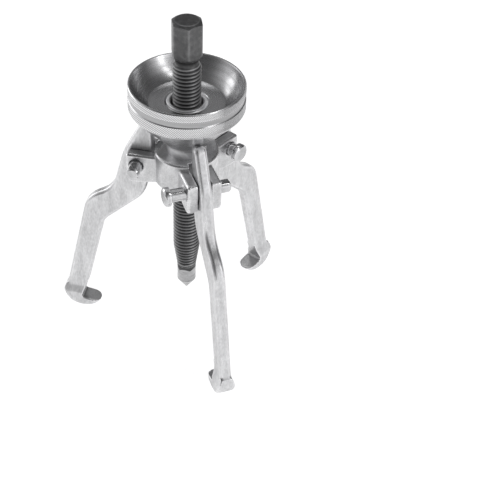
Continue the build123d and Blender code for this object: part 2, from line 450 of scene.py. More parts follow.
@dataclass(frozen=True)
class SatinPlating(Finish):
    """Bright plating over a tumbled casting or forging.

    Args:
        polish: How much smoother a rubbed edge is.
        cloud_scale: Clouds of tone over a metre.
        specks: Share of fine specks in the tone.
        stretch: Width of a cloud over its height. Below 1 the clouds are upright streaks.
    """

    polish: float = 0.12
    cloud_scale: float = 130.0
    specks: float = 0.5
    stretch: float = 1.0

    def material(self, effects: Effects) -> bpy.types.Material:
        """Build the material.

        Args:
            effects: The shared groups.

        Returns:
            The material.
        """
        material, graph, coord, wear_and_painted_light = self.start(effects)
        upright = graph.add("ShaderNodeVectorMath", {0: coord, 1: (1.0, 1.0, self.stretch)},
                            operation="MULTIPLY")
        mottle = graph.add("ShaderNodeGroup", {
            "Coord": upright.outputs[0], "Cloud Scale": self.cloud_scale,
            "Speck Share": self.specks}, node_tree=effects.mottle)
        skin = graph.add("ShaderNodeGroup", {"Coord": coord}, node_tree=effects.cast_skin)
        tone = mottle.outputs["Tone"]
        plain = graph.remap(tone, 0.0, 1.0, self.rough, self.smooth)
        worn = graph.math("MULTIPLY_ADD", wear_and_painted_light["Edge"], -self.polish, plain)
        self.dress(graph, self.colour(graph, wear_and_painted_light, tone), worn, skin.outputs["Height"])
        return material


@dataclass(frozen=True)
class LatheFinish(Finish):
    """Turned or ground steel with the tool's rings.

    Args:
        ring_scale: Rings over a metre.
        contrast: Lowest and highest strength of a ring that counts as dark and bright.
        cover: Height below which a blackened coat ends in scallops, or None.
        coat: Tone of that coat.
        coat_rough: How much rougher the coat is.
        scallops: Half as many scallops round the coat's end.
        scallop_turn: Turn of the scallops, in radians.
        scallop_rise: Height of a scallop.
        scallop_drop: How far the scallops' feet are below the cover's height.
        sharpness: How sharply the coat ends, over a metre.
    """

    dark: float = 0.55
    light: float = 0.75
    rub_share: float = 0.5
    dull: float = 0.35
    smooth: float = 0.2
    rough: float = 0.34
    relief: float = 0.35
    depth: float = 0.00002
    ring_scale: float = 2200.0
    contrast: tuple[float, float] = (0.35, 0.65)
    cover: Optional[float] = None
    coat: float = 0.075
    coat_rough: float = 0.16
    scallops: float = 2.5
    scallop_turn: float = 0.6
    scallop_rise: float = 0.0014
    scallop_drop: float = 0.0008
    sharpness: float = 6000.0

    def material(self, effects: Effects) -> bpy.types.Material:
        """Build the material.

        Args:
            effects: The shared groups.

        Returns:
            The material.
        """
        material, graph, coord, wear_and_painted_light = self.start(effects)
        rings = graph.add("ShaderNodeGroup", {"Coord": coord, "Ring Scale": self.ring_scale},
                          node_tree=effects.turning)
        tone = graph.remap(rings.outputs["Tone"], *self.contrast, 0.0, 1.0)
        colour = self.colour(graph, wear_and_painted_light, tone)
        roughness = graph.remap(tone, 0.0, 1.0, self.rough, self.smooth)
        if self.cover is not None:
            covered = self.covered(graph, coord)
            colour = graph.blend(covered, colour, grey(self.coat))
            roughness = graph.math("MULTIPLY_ADD", covered, self.coat_rough, roughness)
        self.dress(graph, colour, roughness, rings.outputs["Height"])
        return material

    def covered(self, graph: Graph, coord: Socket) -> Socket:
        """Share of the surface under the blackened coat, which ends in a wavy line.

        Args:
            graph: The material's graph.
            coord: Object coordinates.

        Returns:
            1 under the coat and 0 on bare steel.
        """
        split = graph.add("ShaderNodeSeparateXYZ", {0: coord})
        x, y, z = split.outputs
        turned = graph.math("MULTIPLY_ADD", graph.math("ARCTAN2", y, x), self.scallops,
                            self.scallop_turn)
        wave = graph.math("ABSOLUTE", graph.math("SINE", turned))
        line = graph.math("MULTIPLY_ADD", wave, self.scallop_rise, self.cover - self.scallop_drop)
        return graph.math("MULTIPLY", graph.math("SUBTRACT", z, line), self.sharpness, clamp=True)


@dataclass(frozen=True)
class BlackOxide(Finish):
    """Blackened steel, lightly oiled, rubbed grey on its edges, partly worn metal and partly a
    painted highlight, with painted shade in its corners.

    Args:
        cloud_scale: Clouds of tone over a metre.
        grain_scale: Grains of the coat over a metre.
    """

    dark: float = 0.085
    light: float = 0.12
    rub: float = 0.55
    rub_share: float = 0.6
    dull: float = 0.3
    dull_share: float = 0.7
    smooth: float = 0.36
    rough: float = 0.46
    metallic: float = 0.5
    relief: float = 0.3
    depth: float = 0.00004
    cloud_scale: float = 160.0
    grain_scale: float = 4200.0

    def material(self, effects: Effects) -> bpy.types.Material:
        """Build the material.

        Args:
            effects: The shared groups.

        Returns:
            The material.
        """
        material, graph, coord, wear_and_painted_light = self.start(effects)
        mottle = graph.add("ShaderNodeGroup", {"Coord": coord, "Cloud Scale": self.cloud_scale},
                           node_tree=effects.mottle)
        skin = graph.add("ShaderNodeGroup", {"Coord": coord, "Grain Scale": self.grain_scale},
                         node_tree=effects.cast_skin)
        tone = mottle.outputs["Tone"]
        roughness = graph.remap(tone, 0.0, 1.0, self.rough, self.smooth)
        self.dress(graph, self.colour(graph, wear_and_painted_light, tone), roughness, skin.outputs["Height"])
        return material


# ---------------------------------------------------------------------------------------------
# Mesh tools
# ---------------------------------------------------------------------------------------------


def rounded(corners: Sequence[tuple[float, float, float]], steps: int = 4) -> Profile:
    """Round the corners of an open path.

    Args:
        corners: Each corner's radius from the axis, height, and rounding radius.
        steps: Runs in each rounding.

    Returns:
        The path's points.
    """
    points = [Vector(corner[:2]) for corner in corners]
    result: Profile = [tuple(points[0])]
    for before, here, after, corner in zip(points, points[1:], points[2:], corners[1:]):
        back, ahead = (before - here).normalized(), (after - here).normalized()
        bend = math.acos(max(-1.0, min(1.0, back.dot(ahead))))
        if corner[2] <= 0.0 or bend > STRAIGHT:
            result.append(tuple(here))
            continue
        reach = min(corner[2] / math.tan(bend / 2), MOST_OF_RUN * (before - here).length,
                    MOST_OF_RUN * (after - here).length)
        radius = reach * math.tan(bend / 2)
        centre = here + (back + ahead).normalized() * (radius / math.sin(bend / 2))
        start, end = here + back * reach - centre, here + ahead * reach - centre
        turn = start.angle_signed(end)
        for step in range(steps + 1):
            arm = start.copy()
            arm.rotate(Matrix.Rotation(-turn * step / steps, 2))
            result.append(tuple(centre + arm))
    result.append(tuple(points[-1]))
    return result


def spaced(profile: Profile, longest: float) -> Profile:
    """Divide a path's long runs.

    Args:
        profile: The path.
        longest: Longest run allowed.

    Returns:
        The path with more points.
    """
    result = [profile[0]]
    for start, end in zip(profile, profile[1:]):
        length = math.dist(start, end)
        pieces = max(1, math.ceil(length / longest))
        for piece in range(1, pieces + 1):
            share = piece / pieces
            result.append((start[0] + (end[0] - start[0]) * share,
                           start[1] + (end[1] - start[1]) * share))
    return result


def polar_mesh(name: str, rows: Sequence[Row], heights: Sequence[float], columns: int,
               ring: bool = False) -> bpy.types.Mesh:
    """Surface round the Z axis from rows of points.

    Args:
        name: The mesh's name.
        rows: For each row, the radius at each angle.
        heights: Each row's height.
        columns: Points round a row.
        ring: Whether the last row joins the first.

    Returns:
        The mesh, in metres, from sizes in millimetres.
    """
    angles = np.arange(columns) * (2 * math.pi / columns)
    points = []
    for row, height in zip(rows, heights):
        radius = row(angles)
        points.append(np.stack([radius * np.cos(angles), radius * np.sin(angles),
                                np.full(columns, height)], 1))
    verts = np.concatenate(points) * MM
    faces = []
    count = len(points)
    for row in range(count if ring else count - 1):
        low, high = row * columns, ((row + 1) % count) * columns
        for column in range(columns):
            after = (column + 1) % columns
            faces.append((low + column, low + after, high + after, high + column))
    mesh = bpy.data.meshes.new(name)
    mesh.from_pydata(verts.tolist(), [], faces)
    return mesh


def lathe(name: str, profile: Profile, columns: int, ring: bool = False) -> bpy.types.Mesh:
    """Surface of revolution about Z.

    Args:
        name: The mesh's name.
        profile: Points of radius and height in millimetres.
        columns: Points round it.
        ring: Whether the path closes on itself.

    Returns:
        The mesh.
    """
    rows = [lambda angles, radius=radius: np.full(len(angles), radius) for radius, _ in profile]
    return polar_mesh(name, rows, [height for _, height in profile], columns, ring)


def joined(name: str, meshes: Iterable[bpy.types.Mesh], weld: float = 0.00001) -> bpy.types.Mesh:
    """Join meshes, weld what touches, and close and orient the result.

    Args:
        name: The new mesh's name.
        meshes: What to join. They are removed.
        weld: Distance within which points become one.

    Returns:
        The joined mesh.
    """
    work = bmesh.new()
    for mesh in meshes:
        work.from_mesh(mesh)
        bpy.data.meshes.remove(mesh)
    bmesh.ops.remove_doubles(work, verts=work.verts, dist=weld)
    bmesh.ops.dissolve_degenerate(work, edges=work.edges, dist=weld * 0.1)
    loose = [vert for vert in work.verts if not vert.link_faces]
    bmesh.ops.delete(work, geom=loose, context="VERTS")
    open_edges = [edge for edge in work.edges if len(edge.link_faces) == 1]
    if open_edges:
        bmesh.ops.holes_fill(work, edges=open_edges, sides=0)
    bmesh.ops.recalc_face_normals(work, faces=work.faces)
    mesh = bpy.data.meshes.new(name)
    work.to_mesh(mesh)
    work.free()
    return mesh


def mark_edges(mesh: bpy.types.Mesh, scale: float, passes: int) -> None:
    """Store how far each point stands out of or into its surroundings.

    Args:
        mesh: The mesh. It gains the convexity attribute, about 1 on outer edges and -1 in corners.
        scale: Standing out, in metres, that counts as a full edge.
        passes: Rounds of averaging, which widen the band.
    """
    count = len(mesh.vertices)
    co = np.empty(count * 3)
    mesh.vertices.foreach_get("co", co)
    co = co.reshape(-1, 3)
    normal = np.empty(count * 3)
    mesh.vertex_normals.foreach_get("vector", normal)
    normal = normal.reshape(-1, 3)
    ends = np.empty(len(mesh.edges) * 2, int)
    mesh.edges.foreach_get("vertices", ends)
    first, second = ends[::2], ends[1::2]
    degree = np.bincount(ends, minlength=count).clip(1)

    def averaged(values: np.ndarray) -> np.ndarray:
        """Mean over each point's neighbours.

        Args:
            values: A value, or a row of them, for each point.

        Returns:
            The means.
        """
        total = np.zeros_like(values)
        np.add.at(total, first, values[second])
        np.add.at(total, second, values[first])
        return total / (degree if values.ndim == 1 else degree[:, None])

    smooth = co.copy()
    for _ in range(passes):
        smooth = (1 - SHARE_TO_NEIGHBOURS) * smooth + SHARE_TO_NEIGHBOURS * averaged(smooth)
    stands = ((co - smooth) * normal).sum(1) / scale
    attribute = mesh.attributes.new(CONVEXITY, "FLOAT", "POINT")
    attribute.data.foreach_set("value", stands.clip(-1.0, 1.0).astype(np.float32))


def piece(name: str, mesh: bpy.types.Mesh, material: bpy.types.Material, body: str,
          nodes: Sequence[str], slot: Slot, sharp: float = 40.0) -> bpy.types.Object:
    """Put a finished mesh in the scene on its body.

    Args:
        name: The piece's name.
        mesh: Its mesh.
        material: Its material.
        body: The body that it moves with.
        nodes: The frame's nodes that it stands for.
        slot: The record's slot. Not used.
        sharp: Angle in degrees above which an edge stays sharp.

    Returns:
        The object.
    """
    mesh.name = name
    mesh.materials.clear()
    mesh.materials.append(material)
    mesh.shade_smooth()
    mesh.set_sharp_from_angle(angle=math.radians(sharp))
    obj = bpy.data.objects.new(name, mesh)
    bpy.context.scene.collection.objects.link(obj)
    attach(obj, body)
    if nodes:
        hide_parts(*nodes)
    log.info("%s: %d faces on body %s", name, len(mesh.polygons), body)
    return obj


def copied_node(node: str) -> bmesh.types.BMesh:
    """Welded copy of a frame node's mesh.

    Args:
        node: The node.

    Returns:
        The copy.
    """
    work = bmesh.new()
    work.from_mesh(frame["nodes"][node].data)
    bmesh.ops.remove_doubles(work, verts=work.verts, dist=0.000002)
    return work


def cast_mesh(name: str, work: bmesh.types.BMesh, voxel: float, rounds: int) -> bpy.types.Mesh:
    """Even skin with soft edges, as a casting or forging has.

    Args:
        name: The mesh's name.
        work: The closed shape. It is freed.
        voxel: Size of the skin's faces.
        rounds: Rounds of softening.

    Returns:
        The mesh.
    """
    rough = bpy.data.meshes.new(name + "_rough")
    work.to_mesh(rough)
    work.free()
    carrier = bpy.data.objects.new(name + "_carrier", rough)
    bpy.context.scene.collection.objects.link(carrier)
    remesh = carrier.modifiers.new("skin", "REMESH")
    remesh.mode = "VOXEL"
    remesh.voxel_size = voxel
    remesh.adaptivity = 0.0
    soften = carrier.modifiers.new("soften", "SMOOTH")
    soften.factor = 0.5
    soften.iterations = rounds
    graph = bpy.context.evaluated_depsgraph_get()
    mesh = bpy.data.meshes.new_from_object(carrier.evaluated_get(graph))
    bpy.data.objects.remove(carrier)
    bpy.data.meshes.remove(rough)
    return mesh


# ---------------------------------------------------------------------------------------------
# Geometry Nodes
# ---------------------------------------------------------------------------------------------


def grown_mesh(name: str, base: bpy.types.Mesh, tree: bpy.types.NodeTree,
               values: dict[str, Union[int, float]]) -> bpy.types.Mesh:
    """Run a Geometry Nodes tree on a mesh and keep the result as a plain mesh.

    Args:
        name: The result's name.
        base: The mesh that the tree starts from. It is removed.
        tree: The tree.
        values: The tree's inputs, by name.

    Returns:
        The result.
    """
    carrier = bpy.data.objects.new(name + "_carrier", base)
    bpy.context.scene.collection.objects.link(carrier)
    modifier = carrier.modifiers.new("grow", "NODES")
    modifier.node_group = tree
    for item in tree.interface.items_tree:
        if item.item_type == "SOCKET" and item.in_out == "INPUT" and item.name in values:
            modifier[item.identifier] = values[item.name]
    carrier.update_tag()
    graph = bpy.context.evaluated_depsgraph_get()
    mesh = bpy.data.meshes.new_from_object(carrier.evaluated_get(graph))
    carrier.modifiers.clear()
    bpy.data.objects.remove(carrier)
    bpy.data.meshes.remove(base)
    mesh.name = name
    return mesh


def geometry_tree(name: str, inputs: dict[str, Union[int, float]]
                  ) -> tuple[Graph, dict, bpy.types.Node]:
    """Start a geometry tree.

    Args:
        name: The tree's name.
        inputs: Each number input's name and usual value. A whole number makes a whole-number input.

    Returns:
        The graph, its inputs by name, and the output node.
    """
    tree = bpy.data.node_groups.new(name, "GeometryNodeTree")
    tree.interface.new_socket("Geometry", in_out="INPUT", socket_type="NodeSocketGeometry")
    for key, value in inputs.items():
        kind = "NodeSocketInt" if isinstance(value, int) else "NodeSocketFloat"
        tree.interface.new_socket(key, in_out="INPUT", socket_type=kind).default_value = value
    tree.interface.new_socket("Material", in_out="INPUT", socket_type="NodeSocketMaterial")
    tree.interface.new_socket("Geometry", in_out="OUTPUT", socket_type="NodeSocketGeometry")
    graph = Graph(tree)
    source = graph.add("NodeGroupInput")
    sink = graph.add("NodeGroupOutput")
    return graph, {socket.name: socket for socket in source.outputs if socket.name}, sink


def finish_tree(graph: Graph, geometry: Socket, material: Socket, sink: bpy.types.Node) -> None:
    """End a geometry tree with real geometry and its material.

    Args:
        graph: The tree's graph.
        geometry: The geometry so far.
        material: The material input.
        sink: The tree's output node.
    """
    real = graph.add("GeometryNodeRealizeInstances", {"Geometry": geometry})
    dressed = graph.add("GeometryNodeSetMaterial", {"Geometry": real.outputs[0],
                                                    "Material": material})
    graph.set(sink.inputs[0], dressed.outputs[0])


def thread_tree() -> bpy.types.NodeTree:
    """Helical thread: one pitch of its profile swept up a helix, narrowed at both ends.

    Returns:
        The tree.
    """
    graph, given, sink = geometry_tree("screw_thread", {
        "Turns": 10, "Columns": 96, "Samples": 8, "Pitch": 0.002, "Crest Radius": 0.008,
        "Depth": 0.001, "Bottom": 0.0, "Top": 0.1, "Bottom Radius": 0.006, "Bottom Taper": 0.01,
        "Top Radius": 0.006, "Top Taper": 0.002, "Fade": 0.0012, "Flank": 1.34, "Land": 0.17})
    sweep = graph.math("MULTIPLY", given["Turns"], 2 * math.pi)
    across = graph.math("ADD", graph.math("MULTIPLY", given["Turns"], given["Columns"]), 1.0)
    along = graph.math("ADD", given["Samples"], 1.0)
    grid = graph.add("GeometryNodeMeshGrid", {"Size X": sweep, "Size Y": 1.0, "Vertices X": across,
                                              "Vertices Y": along})
    position = graph.add("GeometryNodeInputPosition")
    place = graph.add("ShaderNodeSeparateXYZ", {0: position.outputs[0]})
    angle = graph.math("MULTIPLY_ADD", sweep, 0.5, place.outputs[0])
    phase = graph.math("ADD", place.outputs[1], 0.5)
    climb = graph.total(graph.math("DIVIDE", angle, 2 * math.pi), phase, -1.0)
    raw = graph.math("MULTIPLY_ADD", climb, given["Pitch"], given["Bottom"])
    height = graph.math("MINIMUM", graph.math("MAXIMUM", raw, given["Bottom"]), given["Top"])
    swing = graph.math("ABSOLUTE", graph.math("MULTIPLY_ADD", phase, 2.0, -1.0))
    land = graph.math("MULTIPLY", given["Land"], -1.0)
    tooth = graph.math("MULTIPLY_ADD", swing, given["Flank"], land, clamp=True)
    gap = graph.math("MULTIPLY", graph.math("SUBTRACT", 1.0, tooth), given["Depth"])
    radius: Value = given["Crest Radius"]
    for end, sign in (("Bottom", 1.0), ("Top", -1.0)):
        away = graph.math("MULTIPLY", graph.math("SUBTRACT", height, given[end]), sign)
        share = graph.math("DIVIDE", away, given[end + " Taper"])
        room = graph.math("SUBTRACT", given["Crest Radius"], given[end + " Radius"])
        limit = graph.math("MULTIPLY_ADD", share, room, given[end + " Radius"])
        radius = graph.math("MINIMUM", radius, limit)
        gap = graph.math("MULTIPLY", gap, graph.math("DIVIDE", away, given["Fade"], clamp=True))
    radius = graph.math("SUBTRACT", radius, gap)
    spot = graph.add("ShaderNodeCombineXYZ", {
        0: graph.math("MULTIPLY", radius, graph.math("COSINE", angle)),
        1: graph.math("MULTIPLY", radius, graph.math("SINE", angle)),
        2: height})
    moved = graph.add("GeometryNodeSetPosition", {"Geometry": grid.outputs["Mesh"],
                                                  "Position": spot.outputs[0]})
    welded = graph.add("GeometryNodeMergeByDistance", {"Geometry": moved.outputs[0],
                                                       "Distance": 0.00001})
    finish_tree(graph, welded.outputs[0], given["Material"], sink)
    return graph.tree


def knurl_tree() -> bpy.types.NodeTree:
    """Diamond knurl: points of a band, marked in turn high and low, are pushed out from the axis.

    Returns:
        The tree.
    """
    graph, given, sink = geometry_tree("diamond_knurl", {"Depth": 0.0003})
    high = graph.add("GeometryNodeInputNamedAttribute", {"Name": "knurl"}, data_type="FLOAT")
    place = graph.add("GeometryNodeInputPosition").outputs[0]
    flat = graph.add("ShaderNodeVectorMath", {0: place, 1: (1.0, 1.0, 0.0)}, operation="MULTIPLY")
    outward = graph.add("ShaderNodeVectorMath", {0: flat.outputs[0]}, operation="NORMALIZE")
    height = next(socket for socket in high.outputs if socket.enabled)
    reach = graph.math("MULTIPLY", height, given["Depth"])
    push = graph.add("ShaderNodeVectorMath", {0: outward.outputs[0]}, operation="SCALE")
    graph.set(push.inputs["Scale"], reach)
    moved = graph.add("GeometryNodeSetPosition", {"Geometry": given["Geometry"],
                                                  "Offset": push.outputs[0]})
    finish_tree(graph, moved.outputs[0], given["Material"], sink)
    return graph.tree


# ---------------------------------------------------------------------------------------------
# Sub-assemblies
# ---------------------------------------------------------------------------------------------


@dataclass
class Thread:
    """A helical thread. Sizes are in millimetres.

    Args:
        crest: Radius over the crests.
        pitch: Rise in a turn.
        depth: Depth of the groove.
        bottom: Height of its lower end.
        top: Height of its upper end.
        bottom_radius: Radius at its lower end.
        bottom_taper: Length over which it narrows there.
        top_radius: Radius at its upper end.
        top_taper: Length over which it narrows there.
        fade: Length over which the groove runs out at both ends.
        columns: Points round a turn.
        samples: Points across one pitch.
    """

    crest: float
    pitch: float
    depth: float
    bottom: float
    top: float
    bottom_radius: float
    bottom_taper: float
    top_radius: float
    top_taper: float
    fade: float = 1.2
    columns: int = 96
    samples: int = 8

    def mesh(self, tree: bpy.types.NodeTree) -> bpy.types.Mesh:
        """Grow the thread's surface, open at both ends.

        Args:
            tree: The thread tree.

        Returns:
            The mesh.
        """
        turns = math.ceil((self.top - self.bottom) / self.pitch) + 2
        seed = bpy.data.meshes.new("thread_seed")
        return grown_mesh("thread", seed, tree, {
            "Turns": turns, "Columns": self.columns, "Samples": self.samples,
            "Pitch": self.pitch * MM, "Crest Radius": self.crest * MM, "Depth": self.depth * MM,
            "Bottom": self.bottom * MM, "Top": self.top * MM,
            "Bottom Radius": self.bottom_radius * MM, "Bottom Taper": self.bottom_taper * MM,
            "Top Radius": self.top_radius * MM, "Top Taper": self.top_taper * MM,
            "Fade": self.fade * MM})


@dataclass
class ForcingScrew:
    """Threaded rod with its neck and driving hexagon, in millimetres.

    Args:
        columns: Points round it.
        pitch: Rise of the thread in a turn.
        crest: Radius over the thread's crests.
        thread_depth: Depth of the thread's groove.
        neck: Radius of the neck.
        end: Radius of the lower end.
        taper: Length of the lower taper.
        thread_top: Height of the thread's upper end.
        hexagon_bottom: Height of the hexagon's underside.
        across_flats: Size of the hexagon.
        hexagon_turn: Direction of one of its corners, in degrees from +X.
        corner_cut: How much shorter its corners are than sharp ones.
        corner_soft: Softness of its edges.
        soft_share: Share of that softness that its flats lose.
        top_radius: Radius of its chamfer at the top face.
        top_chamfer: Height of the upper chamfer.
        ledge: How far its underside stands out from the neck.
        under_chamfer: Height of the lower chamfer.
        face_radius: Radius of the top face's flat.
        neck_taper: Length over which the thread narrows to the neck.
        fade: Length over which the thread's groove runs out.
        head_rub: Share of the edge rubbing, with its painted highlight, and of the painted corner
            shade that the hexagon shows.
        node: Its node in the frame.
    """

    columns: int = 96
    pitch: float = 25.4 / 11
    crest: float = 7.93
    thread_depth: float = 1.35
    neck: float = 6.4
    end: float = 5.7
    taper: float = 15.6
    thread_top: float = 184.6
    hexagon_bottom: float = 188.1
    across_flats: float = 15.9
    hexagon_turn: float = 19.0
    corner_cut: float = 0.12
    corner_soft: float = 0.16
    soft_share: float = 0.6
    top_radius: float = 6.7
    top_chamfer: float = 1.5
    ledge: float = 1.0
    under_chamfer: float = 1.9
    face_radius: float = 6.3
    neck_taper: float = 2.3
    fade: float = 3.0
    head_rub: float = 0.22
    node: str = "forcing_screw"

    def thread(self) -> Thread:
        """The thread, from the frame's lower end of the screw to the neck.

        Returns:
            The thread.
        """
        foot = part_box(self.node)[0].z / MM
        return Thread(self.crest, self.pitch, self.thread_depth, foot, self.thread_top, self.end,
                      self.taper, self.neck, self.neck_taper, self.fade, self.columns)

    def hexagon_radius(self, angles: np.ndarray, height: float, top: float) -> np.ndarray:
        """Radius of the chamfered hexagon at a height.

        Args:
            angles: Directions from the axis.
            height: Height.
            top: Height of the hexagon's top.

        Returns:
            The radius at each angle.
        """
        sector = math.pi / 3
        off = (angles - math.radians(self.hexagon_turn)) % sector - sector / 2
        flat = self.across_flats / 2 / np.cos(off)
        corner = self.across_flats / math.sqrt(3) - self.corner_cut
        rise = height - self.hexagon_bottom
        upper = self.top_radius + (top - height) * (corner - self.top_radius) / self.top_chamfer
        under = self.neck + self.ledge
        lower = under + rise * (corner - self.neck - self.ledge) / self.under_chamfer
        limits = np.stack([flat, *(np.full_like(flat, limit) for limit in (corner, upper, lower))])
        soft = self.corner_soft
        least = limits.min(0)
        return least - soft * np.log(np.exp((least - limits) / soft).sum(0)) * self.soft_share

    def head(self, top: float) -> bpy.types.Mesh:
        """Neck, hexagon and top face.

        Args:
            top: Height of the top face.

        Returns:
            The mesh, open at the neck's foot.
        """
        rows: list[Row] = []
        heights: list[float] = []

        def circle(radius: float, height: float) -> None:
            """Add a round row."""
            rows.append(lambda angles: np.full(len(angles), radius))
            heights.append(height)

        # The neck, which flares a little under the hexagon.
        for flare, height in ((0.0, self.thread_top), (0.0, self.thread_top + 0.6),
                              (0.0, self.hexagon_bottom - 0.5), (0.25, self.hexagon_bottom - 0.08)):
            circle(self.neck + flare, height)
        length = top - self.hexagon_bottom
        # Close rows over each chamfer, wide ones between them.
        for start, end, count in ((0.0, 2.6, 14), (3.6, length - 3.0, 10),
                                  (length - 2.6, length, 18)):
            for rise in np.linspace(start, end, count):
                height = self.hexagon_bottom + rise
                rows.append(lambda angles, height=height: self.hexagon_radius(angles, height, top))
                heights.append(height)
        for share in (0.93, 0.75, 0.5, 0.25):
            circle(self.face_radius * share, top)
        return polar_mesh("head", rows, heights, self.columns)

    def build(self, tree: bpy.types.NodeTree, material: bpy.types.Material) -> None:
        """Build the screw.

        Args:
            tree: The thread tree.
            material: Its finish.
        """
        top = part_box(self.node)[1].z / MM
        mesh = joined(self.node, [self.thread().mesh(tree), self.head(top)], 0.00002)
        mark_edges(mesh, scale=0.00012, passes=3)
        # The hexagon keeps less of the rubbed edges, their painted highlight and the painted corner
        # shade.
        for vertex, mark in zip(mesh.vertices, mesh.attributes[CONVEXITY].data):
            if vertex.co.z > self.hexagon_bottom * MM:
                mark.value *= self.head_rub
        piece("forcing_screw_body", mesh, material, self.node, [self.node], Slot.BLACK, sharp=38.0)


@dataclass
class ScrewPoint:
    """Hardened conical point, in millimetres.

    Args:
        radius: Radius of its round part.
        tip: Radius of the blunted tip.
        stem: Radius of the stem.
        shoulder: Height of the shoulder.
        cone_top: Height where the cone begins.
        spacing: Longest run of its outline.
        columns: Points round it.
        node: Its node in the frame.
    """

    radius: float = 5.6
    tip: float = 0.5
    stem: float = 2.8
    shoulder: float = 42.95
    cone_top: float = 31.6
    spacing: float = 0.7
    columns: int = 96
    node: str = "screw_point"

    def build(self, material: bpy.types.Material) -> None:
        """Build the point.

        Args:
            material: Its finish.
        """
        low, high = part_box(self.node)
        base, top = low.z / MM, high.z / MM
        path = rounded([(0.0, base, 0.0), (self.tip, base, 0.3), (self.radius, self.cone_top, 0.5),
                        (self.radius, self.shoulder, 0.2), (self.stem, self.shoulder, 0.0),
                        (self.stem, top, 0.3), (0.0, top, 0.0)])
        mesh = joined(self.node, [lathe(self.node, spaced(path, self.spacing), self.columns)])
        mark_edges(mesh, scale=0.00012, passes=3)
        piece("screw_point_body", mesh, material, self.node, [self.node], Slot.GROUND)


